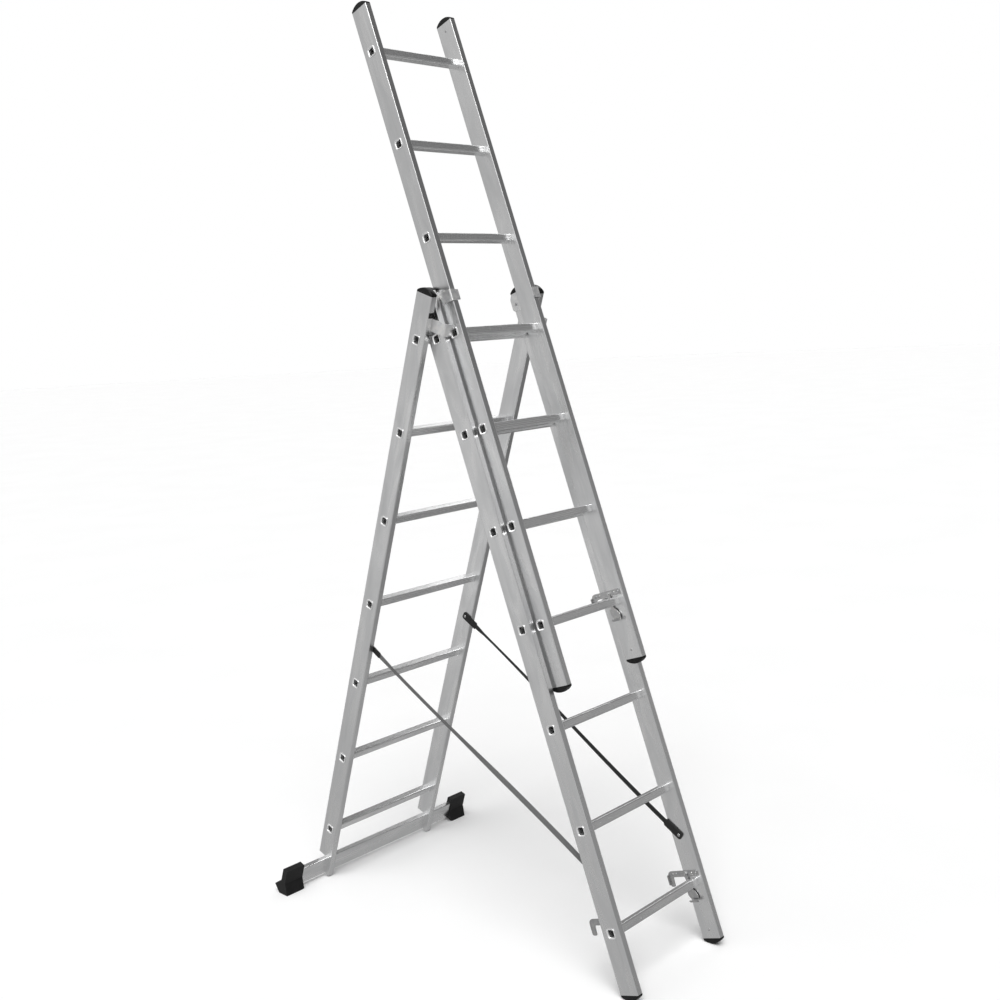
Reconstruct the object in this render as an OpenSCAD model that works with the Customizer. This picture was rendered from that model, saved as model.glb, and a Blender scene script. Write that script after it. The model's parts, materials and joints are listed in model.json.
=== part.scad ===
// Three-section aluminium combination ladder, standing as an A-frame with the top section raised.
// X runs along the rungs, +Y points to the rear leg and +Z points up. The floor is Z = 0.
// Each section is drawn in a frame of its own: X along the rungs, +Y towards the rear of the
// ladder, +Z along the stiles, with the origin at the centre of the section's lowest rung.

/* [Sections] */
// Outer width of the rear section, which carries the stabiliser bar
rear_w = 466; // [464:1:470]
// Outer width of the middle section
middle_w = 408; // [406:1:410]
// Outer width of the upper section
upper_w = 354; // [350:1:355]
// Distance between rungs along the stile
pitch = 280; // [270:1:290]
// Number of rungs in each section
rung_count = 7; // [7:1:7]
// Number of rungs by which the upper section is raised
raised_rungs = 3; // [3:1:3]
// Lean of both legs from the vertical, in degrees
lean = 19.1; // [17:0.1:20]
// Distance between the rung planes of neighbouring sections
fold_gap = 47; // [46:0.5:50]

/* [Stiles] */
// Depth of a stile, from its front face to its rear face
stile_depth = 63; // [60:0.5:64]
// Thickness of a stile, along the rungs
stile_t = 20; // [19:0.5:20.5]
// Wall of the stile tube
stile_wall = 2; // [1.6:0.1:2.4]
// Outer corner radius of the stile tube
stile_corner = 2.5; // [2:0.5:4]
// Stile length below the lowest rung of the middle section
middle_tail = 167; // [160:1:175]
// Stile length below the lowest rung of the upper section
upper_tail = 173; // [165:1:180]
// Stile length above the top rung
stile_head = 132; // [125:1:140]
// Height of a domed end cap at its middle
cap_h = 17; // [14:1:19]
// Height of a domed end cap at its two edges
cap_edge = 5; // [3:0.5:7]

/* [Rungs] */
// Side of the square rung tube
rung_size = 24; // [22:0.5:25]
// Corner radius of the rung tube
rung_corner = 4.5; // [3:0.5:6]
// Wall of the rung tube
rung_wall = 1.6; // [1.4:0.1:2]
// Number of tread grooves on each side of the rung
groove_count = 4; // [3:1:5]
// Depth of a tread groove
groove_depth = 0.6; // [0.3:0.1:0.8]
// Side of the flared rim at each rung end
rim_size = 29; // [27:0.5:30]
// Thickness of the flared rim
rim_t = 2.2; // [1.5:0.1:2.5]

/* [Hinge] */
// Height of the hinge axis above the top rungs
hinge_rise = 12; // [10:1:14]
// Radius of the hinge pin
pin_r = 4.5; // [4:0.1:4.6]
// Radial clearance of the hinge pin in the middle stile
pin_clearance = 0.05; // [0.02:0.01:0.1]

/* [Stabiliser] */
// Height of the stabiliser bar
bar_h = 60; // [56:1:62]
// Thickness of the stabiliser bar
bar_t = 16; // [15:0.5:17]
// Top of the stabiliser bar below the lowest rung
bar_top = 109; // [106:1:112]
// Overall width across the rubber feet
foot_span = 810; // [790:1:830]
// Length of a rubber foot along the bar
foot_len = 70; // [60:1:80]

/* [Straps] */
// Width of the restraint strap
strap_w = 16; // [14:1:20]
// Thickness of the restraint strap
strap_t = 2; // [1.5:0.5:2.5]
// Width of the sewn strap end
sleeve_w = 20; // [18:1:24]
// Length of the sewn strap end
sleeve_len = 68; // [60:1:75]
// Height of the strap rivet above the lowest rung of the middle section
strap_low = 139; // [130:1:150]
// Height of the strap rivet above the lowest rung of the rear section
strap_high = 697; // [680:1:710]

/* [Hidden] */
PAIRED = ["rear_stile", "middle_stile", "upper_stile", "rubber_foot", "middle_foot_cap",
    "upper_foot_cap", "loop_bracket", "hinge_bracket", "hinge_pin", "middle_hook", "upper_hook",
    "middle_latch", "upper_latch", "strap"];
$fn = 48;

LEFT = -1;
RIGHT = 1;
ALUMINIUM = "Silver";
STEEL = "LightSlateGray";
BLACK = "DimGray";

// Heights along a stile, measured from the lowest rung
top_rung = (rung_count - 1) * pitch;
stile_top = top_rung + stile_head;
hinge_z = top_rung + hinge_rise;

// Half widths to the outer and the inner face of each section's stiles
rear_in = rear_w / 2 - stile_t;
middle_in = middle_w / 2 - stile_t;
upper_in = upper_w / 2 - stile_t;

// The domed cap is an arc of this radius. The middle section stands on that arc.
half_depth = stile_depth / 2;
cap_rise = cap_h - cap_edge;
cap_r = (half_depth * half_depth + cap_rise * cap_rise) / (2 * cap_rise);
cap_drop = middle_tail + cap_h - cap_r;

// Place of each leg's lowest rung on the floor plan and above the floor
leg_z = cap_drop * cos(lean) + cap_r;
leg_y = hinge_z * sin(lean) + fold_gap / 2 * cos(lean);

// Corner radius added to the bore of every tube
bore_corner = 0.6;

// Plug of a domed cap, inside the stile
plug_gap = 0.2;
plug_wall = 2;
plug_len = 15;

// Share of a groove's pitch that the groove takes, and the corner radius of the rung rims
groove_share = 0.45;
rim_corner = rung_corner + 2;

// Stabiliser bar in the rear section's frame, with its bolts and feet
bar_front = -14;
bar_bottom = bar_top + bar_h;
bar_corner = 2;
tongue_end = bar_bottom + 3;
bar_half = foot_span / 2 - 10;
bolt_r = 4;
bolt_head_h = 5;
bolt_inset = 16;
foot_wall = 3;
pocket_gap = 0.1;

// Gap left between parts that slide or turn past each other
gap = 0.5;
// Gap left beside a part that lies on a face of another body
touch = 0.3;

// Steel plate brackets
plate_t = 2.5;
rivet_r = 2.5;
rivet_head_r = 5;
rivet_head_h = 2.2;

// Loop bracket at the top of the middle section, which guides the upper section
loop_z = [1758, 1806];
loop_rear = 36;
loop_front = 81.5;
loop_tab = 32;

// Hinge bracket at the top of the rear section, which wraps the middle section
wrap_z = [1714, 1750];
wrap_front = 81;
wrap_tab = 31;

// Rung hook and its latch
hook_top = 34;
hook_under = rung_size / 2 + 4;
hook_reach = 89;
hook_leg = 16;
hook_drop = 12;
latch_pivot = [24, 24];
latch_boss_r = 8;
latch_pin_r = 3;
latch_bore_gap = 0.05;
latch_t = 2;
latch_lip_r = 7;

// Rivet places on each section's inner faces, as [y, z]
rear_rivet_places = [[12, 1732], [-12, 1732], [0, stile_top - 25]];
loop_rivet_places = [[18, 1777], [-6, 1777]];
hook_rivet_places = [[2, 25], [-14, 25]];
low_strap_place = [3, strap_low];
high_strap_place = [-7, strap_high];
cap_rivet_inset = 25;
cap_rivet_r = 3.5;
cap_rivet_h = 1.2;

module in_middle() {
    translate([0, -leg_y, leg_z]) rotate([-lean, 0, 0]) children();
}

module in_rear() {
    translate([0, leg_y, leg_z]) rotate([lean, 0, 0]) children();
}

module in_upper() {
    in_middle() translate([0, -fold_gap, raised_rungs * pitch]) children();
}

// Stands a drawing of Y against Z on edge, from x0 to x1 along the rungs
module across(x0, x1) {
    translate([x0, 0, 0]) rotate([90, 0, 90]) linear_extrude(x1 - x0) children();
}

// Stands the drawing on one side of the ladder, from the distance a to the distance b
module beside(side, a, b) {
    across(min(side * a, side * b), max(side * a, side * b)) children();
}

module rounded_rect(w, h, r) {
    square([w - 2 * r, h], center = true);
    square([w, h - 2 * r], center = true);
    for (x = [-1, 1], y = [-1, 1])
        translate([x * (w / 2 - r), y * (h / 2 - r)]) circle(r);
}

module cross_rod(side, a, b, r) {
    beside(side, a, b) circle(r);
}

// A rectangular tube drawn on the XY plane
module tube_outline(w, h, wall, corner) {
    difference() {
        rounded_rect(w, h, corner);
        rounded_rect(w - 2 * wall, h - 2 * wall, max(corner - wall, 0) + bore_corner);
    }
}

module stile_tube(bottom, top) {
    translate([0, 0, bottom]) linear_extrude(top - bottom)
        tube_outline(stile_t, stile_depth, stile_wall, stile_corner);
}

// A stile with its rung holes, drawn in its section's frame
module stile(side, outer_w, tail, rivets) {
    inner = outer_w / 2 - stile_t;
    difference() {
        translate([side * (outer_w - stile_t) / 2, 0, 0]) stile_tube(-tail, stile_top);
        for (i = [0:rung_count - 1])
            translate([0, 0, i * pitch])
                beside(side, inner - 1, outer_w / 2 + 1)
                rounded_rect(rung_size, rung_size, rung_corner);
        for (p = rivets)
            translate([0, p[0], p[1]]) cross_rod(side, inner - 1, inner + stile_wall + 1, rivet_r);
        children();
    }
}

module groove_row() {
    step = (rung_size - 2 * rung_corner) / groove_count;
    for (i = [0:groove_count - 1])
        translate([(i - (groove_count - 1) / 2) * step, rung_size / 2])
            square([step * groove_share, 2 * groove_depth], center = true);
}

module rung_profile() {
    bore = rung_size - 2 * rung_wall;
    difference() {
        rounded_rect(rung_size, rung_size, rung_corner);
        rounded_rect(bore, bore, rung_corner - rung_wall);
        for (turn = [0:90:270]) rotate(turn) groove_row();
    }
}

module rim() {
    bore = rung_size - 2 * rung_wall;
    difference() {
        rounded_rect(rim_size, rim_size, rim_corner);
        rounded_rect(bore, bore, rung_corner - rung_wall);
    }
}

module collar() {
    difference() {
        rounded_rect(rim_size, rim_size, rim_corner);
        rounded_rect(rung_size - groove_depth, rung_size - groove_depth, rung_corner);
    }
}

// A rung tube with a flared rim outside each stile and a collar inside
module rung(outer_w, i) {
    half = outer_w / 2;
    inner = half - stile_t;
    translate([0, 0, (i - 1) * pitch]) {
        across(-half, half) rung_profile();
        for (side = [LEFT, RIGHT]) {
            beside(side, half, half + rim_t) rim();
            beside(side, inner - rim_t, inner) collar();
        }
    }
}

// A domed cap that closes a stile end, drawn with the stile end at Z = 0 and the dome above it
module end_cap() {
    intersection() {
        translate([0, 0, -1]) linear_extrude(cap_h + 2)
            rounded_rect(stile_t, stile_depth, stile_corner);
        across(-stile_t, stile_t) intersection() {
            translate([0, cap_h - cap_r]) circle(cap_r, $fn = 96);
            translate([-stile_depth, 0]) square([2 * stile_depth, cap_h + 1]);
        }
    }
    plug_w = stile_t - 2 * stile_wall - 2 * plug_gap;
    plug_d = stile_depth - 2 * stile_wall - 2 * plug_gap;
    translate([0, 0, -plug_len]) linear_extrude(plug_len)
        tube_outline(plug_w, plug_d, plug_wall, bore_corner);
}

module top_cap(side, outer_w) {
    translate([side * (outer_w - stile_t) / 2, 0, stile_top]) end_cap();
}

module foot_cap(side, outer_w, tail) {
    translate([side * (outer_w - stile_t) / 2, 0, -tail]) rotate([180, 0, 0]) end_cap();
}

// A domed rivet on a face that looks towards the middle of the ladder
module rivet(side, face, depth, p, head_r = rivet_head_r, head_h = rivet_head_h) {
    dome_r = (head_r * head_r + head_h * head_h) / (2 * head_h);
    translate([side * face, p[0], p[1]]) rotate([0, -side * 90, 0]) {
        translate([0, 0, -depth]) cylinder(h = depth, r = rivet_r);
        intersection() {
            cylinder(h = head_h, r = head_r);
            translate([0, 0, head_h - dome_r]) sphere(dome_r);
        }
    }
}

module rivet_holes(places) {
    for (p = places) translate([p[0], p[1]]) circle(rivet_r);
}

module rear_stile(side) {
    places = concat(rear_rivet_places, [high_strap_place]);
    color(ALUMINIUM) in_rear()
        stile(side, rear_w, tongue_end, places) {
            beside(side, rear_in - 1, rear_w / 2 + 1)
                translate([bar_front, -tongue_end - 1])
                square([stile_depth, tongue_end + 1 - bar_top]);
            translate([0, -fold_gap / 2, hinge_z])
                cross_rod(side, rear_in - 1, rear_in + stile_wall + 1, pin_r);
        }
}

module middle_stile(side) {
    places = concat(loop_rivet_places, hook_rivet_places, [low_strap_place],
        [[0, -middle_tail + cap_rivet_inset]]);
    color(ALUMINIUM) in_middle()
        stile(side, middle_w, middle_tail, places)
            translate([0, fold_gap / 2, hinge_z])
                cross_rod(side, middle_in - 1, middle_w / 2 + 1, pin_r + pin_clearance);
}

module upper_stile(side) {
    places = concat(hook_rivet_places,
        [[0, -upper_tail + cap_rivet_inset], [0, stile_top - cap_rivet_inset]]);
    color(ALUMINIUM) in_upper() stile(side, upper_w, upper_tail, places);
}

module rear_rung(i) {
    color(ALUMINIUM) in_rear() rung(rear_w, i);
}

module middle_rung(i) {
    color(ALUMINIUM) in_middle() rung(middle_w, i);
}

module upper_rung(i) {
    color(ALUMINIUM) in_upper() rung(upper_w, i);
}

module bar_outline() {
    translate([bar_front + bar_t / 2, -bar_top - bar_h / 2])
        tube_outline(bar_t, bar_h, stile_wall, bar_corner);
}

module bolt_places(side) {
    for (z = [-bar_top - bolt_inset, -bar_bottom + bolt_inset])
        translate([side * (rear_w - stile_t) / 2, 0, z]) rotate([90, 0, 0]) children();
}

module stabiliser_bar() {
    color(ALUMINIUM) in_rear() difference() {
        across(-bar_half, bar_half) bar_outline();
        for (side = [LEFT, RIGHT])
            bolt_places(side)
                translate([0, 0, -stile_depth / 2]) cylinder(h = stile_depth, r = bolt_r + gap / 5);
    }
}

module bar_bolts() {
    rear_face = bar_front + bar_t;
    color(STEEL) in_rear() for (side = [LEFT, RIGHT]) bolt_places(side) {
        translate([0, 0, -rear_face]) cylinder(h = bar_t + bolt_head_h, r = bolt_r);
        translate([0, 0, -rear_face - bolt_head_h]) cylinder(h = bolt_head_h, r = 7.5, $fn = 6);
        translate([0, 0, -bar_front]) cylinder(h = 4, r = 5.5, $fn = 6);
    }
}

// Side view of the rubber foot: a straight sleeve that flares to a sole flat on the floor
module foot_outline() {
    sleeve_top = -bar_top + foot_wall + 15;
    sleeve_low = -bar_top - 29;
    sleeve_front = bar_front - foot_wall;
    sleeve_rear = bar_front + bar_t + foot_wall;
    sole_front = -36;
    sole_rear = 5;
    heel = [32, -bar_bottom + 1];
    rise = tan(lean);
    floor_z = -leg_z / cos(lean);
    polygon([[sleeve_rear - 1, sleeve_top], [sleeve_front, sleeve_top], [sleeve_front, sleeve_low],
        [sole_front, floor_z - sole_front * rise], [sole_rear, floor_z - sole_rear * rise],
        heel, [sleeve_rear + 0.5, sleeve_low + 2]]);
}

// The foot is a sleeve over the whole bar end, and narrower where it stands on the floor
module rubber_foot(side) {
    end = foot_span / 2;
    start = end - foot_len;
    narrow_start = start + 17;
    step_top = -bar_bottom - 4;
    color(BLACK) in_rear() difference() {
        beside(side, start, end) foot_outline();
        translate([0, bar_front - pocket_gap, -bar_bottom - pocket_gap])
            beside(side, start - 1, bar_half + pocket_gap)
            square([bar_t + 2 * pocket_gap, bar_h + 2 * pocket_gap]);
        rotate([90, 0, 0]) translate([0, 0, -stile_depth]) linear_extrude(2 * stile_depth)
            polygon([[side * (start - 1), step_top], [side * (start + 5), step_top],
                [side * narrow_start, step_top - 8], [side * narrow_start, -4 * stile_depth],
                [side * (start - 1), -4 * stile_depth]]);
    }
}

// Plate of the loop bracket, with its slanting rear edge and the ear behind the stile
module loop_outline() {
    difference() {
        polygon([[loop_rear, loop_z[0] + 6], [loop_rear, loop_z[1] - 10], [loop_rear - 5, loop_z[1] - 6],
            [loop_rear - 5, loop_z[1]], [-34, loop_z[1] - 2], [-loop_front, loop_z[1] - 10],
            [-loop_front, loop_z[0] + 4], [-34, loop_z[0]], [loop_rear - 4, loop_z[0]]]);
        rivet_holes(loop_rivet_places);
    }
}

module loop_bracket(side) {
    face = middle_in;
    color(STEEL) in_middle() {
        beside(side, face - plate_t, face) loop_outline();
        beside(side, face - loop_tab, face) translate([-loop_front - plate_t, loop_z[0] + 4])
            square([plate_t, loop_z[1] - loop_z[0] - 14]);
    }
}

module wrap_outline() {
    difference() {
        translate([-wrap_front, wrap_z[0]]) square([wrap_front + 20, wrap_z[1] - wrap_z[0]]);
        rivet_holes([rear_rivet_places[0], rear_rivet_places[1]]);
    }
}

module hinge_bracket(side) {
    face = rear_in;
    color(STEEL) in_rear() {
        beside(side, face - plate_t, face) wrap_outline();
        beside(side, face - wrap_tab, face) translate([-wrap_front - plate_t, wrap_z[0]])
            square([plate_t, wrap_z[1] - wrap_z[0]]);
    }
}

// Pin, spacer washer and nut, all fixed to the rear section
module hinge_pin(side) {
    color(STEEL) in_rear() translate([0, -fold_gap / 2, hinge_z]) {
        cross_rod(side, middle_in - 6, rear_w / 2 - stile_wall, pin_r);
        cross_rod(side, middle_w / 2 + gap, rear_in, 8);
        cross_rod(side, middle_in - 5, middle_in - gap, 7.5, $fn = 6);
    }
}

module edge_pads() {
    pad_h = 15;
    color(BLACK) in_rear() for (side = [LEFT, RIGHT])
        translate([0, 0, wrap_z[1] + 2]) {
            beside(side, rear_in - 4, rear_w / 2 - 1) translate([-half_depth - 3, 0]) square([3, pad_h]);
            beside(side, rear_in - 4, rear_in) translate([-half_depth - 3, 0]) square([15, pad_h]);
        }
}

// Plate that hangs over a rung of the section behind
module hook_outline() {
    difference() {
        polygon([[-22, hook_under], [-22, hook_top - 2], [-18, hook_top], [hook_reach - 8, hook_top],
            [hook_reach, hook_top - 8], [hook_reach, -hook_drop + 3], [hook_reach - 3, -hook_drop],
            [hook_reach - hook_leg + 4, -hook_drop], [hook_reach - hook_leg, -hook_drop + 4],
            [hook_reach - hook_leg - 2, hook_under - 5], [hook_reach - hook_leg - 7, hook_under]]);
        rivet_holes(hook_rivet_places);
        translate(latch_pivot) circle(latch_pin_r);
    }
}

module hook(side, face) {
    ear_rivets = [[58, 25], [71, 25]];
    beside(side, face - plate_t, face) difference() {
        hook_outline();
        rivet_holes(ear_rivets);
    }
    beside(side, face - 9, face - plate_t)
        translate([hook_reach - plate_t, -hook_drop + 3]) square([plate_t, hook_top - 8 + hook_drop - 3]);
    for (p = ear_rivets) rivet(side, face - plate_t, plate_t, p, 4, 1.8);
    translate([0, latch_pivot[0], latch_pivot[1]]) {
        cross_rod(side, face - plate_t - latch_t - 2 * gap, face, latch_pin_r);
        cross_rod(side, face - plate_t - latch_t - 2 * gap - 1.5, face - plate_t - latch_t - 2 * gap, 5);
    }
}

// The latch hangs from its pivot, with a toe at the rear and a curled finger lip at the bottom
module latch_outline() {
    px = latch_pivot[0];
    difference() {
        union() {
            translate(latch_pivot) circle(latch_boss_r);
            polygon([[px, latch_pivot[1]], [px, -20], [px + 9, -20], [px + 9, -36], [px + 2, -50],
                [-2, -50], [-2, -40], [6, -24], [15, -18], [15, 16], [px - latch_boss_r, latch_pivot[1]]]);
        }
        translate(latch_pivot) circle(latch_pin_r + latch_bore_gap);
    }
}

module latch(side, face) {
    outer = face - plate_t - gap;
    beside(side, outer - latch_t, outer) latch_outline();
    translate([side * (outer - latch_lip_r), latch_pivot[0] + 2, -50]) rotate([90, 0, 0])
        linear_extrude(latch_pivot[0] + 4) difference() {
            circle(latch_lip_r);
            circle(latch_lip_r - latch_t);
            translate([-2 * latch_lip_r, 0]) square([4 * latch_lip_r, 2 * latch_lip_r]);
        }
}

// Place of a strap rivet, turned from its section's frame into the ladder's
function from_middle(y, z) =
    [-leg_y + y * cos(lean) + z * sin(lean), leg_z - y * sin(lean) + z * cos(lean)];
function from_rear(y, z) =
    [leg_y + y * cos(lean) - z * sin(lean), leg_z + y * sin(lean) + z * cos(lean)];

strap_from = from_middle(low_strap_place[0], low_strap_place[1]);
strap_to = from_rear(high_strap_place[0], high_strap_place[1]);
strap_run = norm(strap_to - strap_from);
strap_angle = atan2(strap_to[0] - strap_from[0], strap_to[1] - strap_from[1]);
strap_x0 = middle_in - touch - 2;
strap_x1 = rear_in - touch - 2;
sleeve_t = 4;
sleeve_past = 10;
strap_overlap = 3;
strap_gap = 0.1;
strap_rivet_depth = sleeve_t + touch + strap_gap + stile_wall;

// A flat end of the strap, lying on a stile's inner face, with its rivet hole
module sleeve(x, start) {
    difference() {
        translate([x - sleeve_t / 2, -sleeve_w / 2, start]) cube([sleeve_t, sleeve_w, sleeve_len]);
        rotate([0, 90, 0]) translate([0, 0, x - sleeve_t])
            cylinder(h = 2 * sleeve_t, r = rivet_r + touch);
    }
}

module strap(side) {
    joined = sleeve_len - sleeve_past;
    web_run = strap_run - 2 * joined + 2 * strap_overlap;
    web_tilt = asin((strap_x1 - strap_x0) / web_run);
    color(BLACK) mirror([side == LEFT ? 1 : 0, 0, 0])
        translate([0, strap_from[0], strap_from[1]]) rotate([-strap_angle, 0, 0]) {
            sleeve(strap_x0, -sleeve_past);
            translate([0, 0, strap_run]) rotate([180, 0, 0]) sleeve(strap_x1, -sleeve_past);
            translate([strap_x0, 0, joined - strap_overlap]) rotate([0, web_tilt, 0])
                translate([-strap_t / 2, -strap_w / 2, 0]) cube([strap_t, strap_w, web_run]);
        }
}

module rear_rivets() {
    color(STEEL) in_rear() for (side = [LEFT, RIGHT]) {
        for (i = [0, 1]) rivet(side, rear_in - plate_t, plate_t + stile_wall, rear_rivet_places[i]);
        rivet(side, rear_in, stile_wall, rear_rivet_places[2], cap_rivet_r, cap_rivet_h);
        rivet(side, strap_x1 - sleeve_t / 2 - strap_gap, strap_rivet_depth, high_strap_place);
    }
}

module middle_rivets() {
    color(STEEL) in_middle() for (side = [LEFT, RIGHT]) {
        for (p = concat(loop_rivet_places, hook_rivet_places))
            rivet(side, middle_in - plate_t, plate_t + stile_wall, p);
        rivet(side, middle_in, stile_wall, [0, -middle_tail + cap_rivet_inset], cap_rivet_r, cap_rivet_h);
        rivet(side, strap_x0 - sleeve_t / 2 - strap_gap, strap_rivet_depth, low_strap_place);
    }
}

module upper_rivets() {
    color(STEEL) in_upper() for (side = [LEFT, RIGHT]) {
        for (p = hook_rivet_places) rivet(side, upper_in - plate_t, plate_t + stile_wall, p);
        for (z = [-upper_tail + cap_rivet_inset, stile_top - cap_rivet_inset])
            rivet(side, upper_in, stile_wall, [0, z], cap_rivet_r, cap_rivet_h);
    }
}

module caps_on_top(outer_w) {
    for (side = [LEFT, RIGHT]) top_cap(side, outer_w);
}

for (i = [1:rung_count]) {
    rear_rung(i);
    middle_rung(i);
    upper_rung(i);
}
for (side = [LEFT, RIGHT]) {
    tag = side == LEFT ? "left" : "right";
    rear_stile(side);
    middle_stile(side);
    upper_stile(side);
    rubber_foot(side);
    color(BLACK) in_middle() foot_cap(side, middle_w, middle_tail);
    color(BLACK) in_upper() foot_cap(side, upper_w, upper_tail);
    loop_bracket(side);
    hinge_bracket(side);
    hinge_pin(side);
    color(STEEL) in_middle() hook(side, middle_in);
    color(STEEL) in_upper() hook(side, upper_in);
    color(STEEL) in_middle() latch(side, middle_in);
    color(STEEL) in_upper() latch(side, upper_in);
    strap(side);
}
stabiliser_bar();
bar_bolts();
color(BLACK) in_rear() caps_on_top(rear_w);  // rear_top_caps
color(BLACK) in_middle() caps_on_top(middle_w);  // middle_top_caps
color(BLACK) in_upper() caps_on_top(upper_w);  // upper_top_caps
edge_pads();
rear_rivets();
middle_rivets();
upper_rivets();
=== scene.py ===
import json
import math

import bmesh
import bpy
from mathutils import Matrix, Vector


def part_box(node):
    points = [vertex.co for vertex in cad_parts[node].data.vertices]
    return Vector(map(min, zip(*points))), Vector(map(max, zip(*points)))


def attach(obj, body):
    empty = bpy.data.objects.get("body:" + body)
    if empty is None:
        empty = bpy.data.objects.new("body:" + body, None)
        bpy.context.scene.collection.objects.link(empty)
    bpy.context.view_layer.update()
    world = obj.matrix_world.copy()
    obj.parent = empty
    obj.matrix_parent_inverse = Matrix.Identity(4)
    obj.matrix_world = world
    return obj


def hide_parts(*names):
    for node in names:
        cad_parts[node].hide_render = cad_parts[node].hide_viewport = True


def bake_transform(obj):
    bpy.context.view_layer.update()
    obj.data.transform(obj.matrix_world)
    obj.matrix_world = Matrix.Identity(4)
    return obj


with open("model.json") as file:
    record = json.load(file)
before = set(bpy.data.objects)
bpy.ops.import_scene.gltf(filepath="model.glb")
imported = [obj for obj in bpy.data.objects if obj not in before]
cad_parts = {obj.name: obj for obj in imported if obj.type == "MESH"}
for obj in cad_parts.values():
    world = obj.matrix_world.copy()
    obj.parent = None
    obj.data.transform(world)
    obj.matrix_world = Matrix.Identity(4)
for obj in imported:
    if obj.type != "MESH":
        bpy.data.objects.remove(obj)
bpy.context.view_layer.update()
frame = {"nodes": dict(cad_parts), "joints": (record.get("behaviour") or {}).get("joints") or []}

# The ladder's three sections are drawn in frames of their own: X along the rungs, +Y towards the
# rear of the ladder, +Z up the stiles, with the origin at the centre of the section's lowest rung.
# Lengths in those frames are written in millimetres.
MM = 0.001
SIDES = {"left": -1, "right": 1}
SECTIONS = ("rear", "middle", "upper")
RUNG_NUMBERS = range(1, 8)

lift_axis = next(joint["axis"] for joint in frame["joints"] if joint["name"] == "lift")
LEAN = math.atan2(lift_axis[1], lift_axis[2])
TURN = {"rear": LEAN, "middle": -LEAN, "upper": -LEAN}


def middle_of(node):
    low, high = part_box(node)
    return (low + high) / 2


def section_frame(section):
    """Matrix from a section's own frame, in millimetres, to the ladder's frame, in metres."""
    place = Matrix.Translation(middle_of(f"{section}_rung_1"))
    return place @ Matrix.Rotation(TURN[section], 4, "X") @ Matrix.Scale(MM, 4)


FRAMES = {section: section_frame(section) for section in SECTIONS}


def local_box(node, section):
    """Lowest and highest corner of a CAD node in its section's own frame."""
    back = FRAMES[section].inverted()
    points = [back @ vertex.co for vertex in frame["nodes"][node].data.vertices]
    low = Vector([min(point[axis] for point in points) for axis in range(3)])
    high = Vector([max(point[axis] for point in points) for axis in range(3)])
    return low, high


# ---------------------------------------------------------------- camera, lights and floor

CAMERA_PLACE = (-2.607, -2.545, 1.837)
CAMERA_YAW = 46.21
CAMERA_PITCH = 8.72
CAMERA_ROLL = 2.71
CAMERA_LENS = 44.66
CAMERA_SENSOR = 36
CAMERA_NEAREST = 0.05


def add_camera():
    """A camera that looks down by the pitch, right by the yaw, and rolls about its view line."""
    yaw, pitch, roll = (math.radians(a) for a in (CAMERA_YAW, CAMERA_PITCH, CAMERA_ROLL))
    ahead = Vector((math.sin(yaw) * math.cos(pitch), math.cos(yaw) * math.cos(pitch),
                    -math.sin(pitch)))
    right = Vector((math.cos(yaw), -math.sin(yaw), 0))
    up = right.cross(ahead)
    turned_right = right * math.cos(roll) - up * math.sin(roll)
    turned_up = up * math.cos(roll) + right * math.sin(roll)
    camera = bpy.data.objects.new("camera", bpy.data.cameras.new("camera"))
    camera.data.lens = CAMERA_LENS
    camera.data.sensor_width = CAMERA_SENSOR
    camera.data.clip_start = CAMERA_NEAREST
    axes = Matrix((turned_right, turned_up, -ahead)).transposed()
    camera.matrix_world = Matrix.Translation(CAMERA_PLACE) @ axes.to_4x4()
    bpy.context.scene.collection.objects.link(camera)
    bpy.context.scene.camera = camera


def add_sun(name, place, strength, softness):
    """A far lamp, as many degrees wide as its softness, that shines from the side of a place."""
    lamp = bpy.data.lights.new(name, "SUN")
    lamp.energy = strength
    lamp.angle = math.radians(softness)
    holder = bpy.data.objects.new(name, lamp)
    holder.rotation_euler = (-Vector(place)).to_track_quat("-Z", "Y").to_euler()
    bpy.context.scene.collection.objects.link(holder)


# ---------------------------------------------------------------- node helpers


def add_node(tree, kind, inputs=None, **settings):
    """Adds a shader node, sets its properties, and fills its inputs with values or links."""
    made = tree.nodes.new("ShaderNode" + kind)
    for key, value in settings.items():
        setattr(made, key, value)
    for key, value in (inputs or {}).items():
        if isinstance(value, bpy.types.NodeSocket):
            tree.links.new(value, made.inputs[key])
        else:
            made.inputs[key].default_value = value
    return made


def new_shader(name, **values):
    """A material with one Principled shader, whose uniform values are set on its own sockets."""
    material = bpy.data.materials.new(name)
    material.use_nodes = True
    shader = material.node_tree.nodes["Principled BSDF"]
    for key, value in values.items():
        shader.inputs[key.replace("_", " ").title().replace("Ior", "IOR")].default_value = value
    return material, material.node_tree, shader


def grain_space(tree, turn, size):
    """Object coordinates turned into a section's own axes and measured in grains of that size."""
    place = add_node(tree, "TexCoord")
    return add_node(tree, "Mapping", {"Vector": place.outputs["Object"], "Rotation": (turn, 0, 0),
                                      "Scale": size}, vector_type="TEXTURE").outputs[0]


def noise(tree, space, detail=3.0, roughness=0.5, distortion=0.0):
    made = add_node(tree, "TexNoise", {"Vector": space, "Scale": 1.0, "Detail": detail,
                                       "Roughness": roughness, "Distortion": distortion})
    return made.outputs[0]


def spread(tree, value, low, high, start=0.3, end=0.7):
    """Maps a value from start..end to low..high, and holds it there."""
    return add_node(tree, "MapRange", {"Value": value, "From Min": start, "From Max": end,
                                       "To Min": low, "To Max": high}).outputs[0]


def math_node(tree, operation, a, b):
    return add_node(tree, "Math", {0: a, 1: b}, operation=operation).outputs[0]


def mix(tree, share, first, second, blend="MIX"):
    """Mixes two colours, each a value or a link, by a share."""
    return add_node(tree, "Mix", {0: share, 6: first, 7: second}, data_type="RGBA",
                    blend_type=blend).outputs[2]


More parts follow.
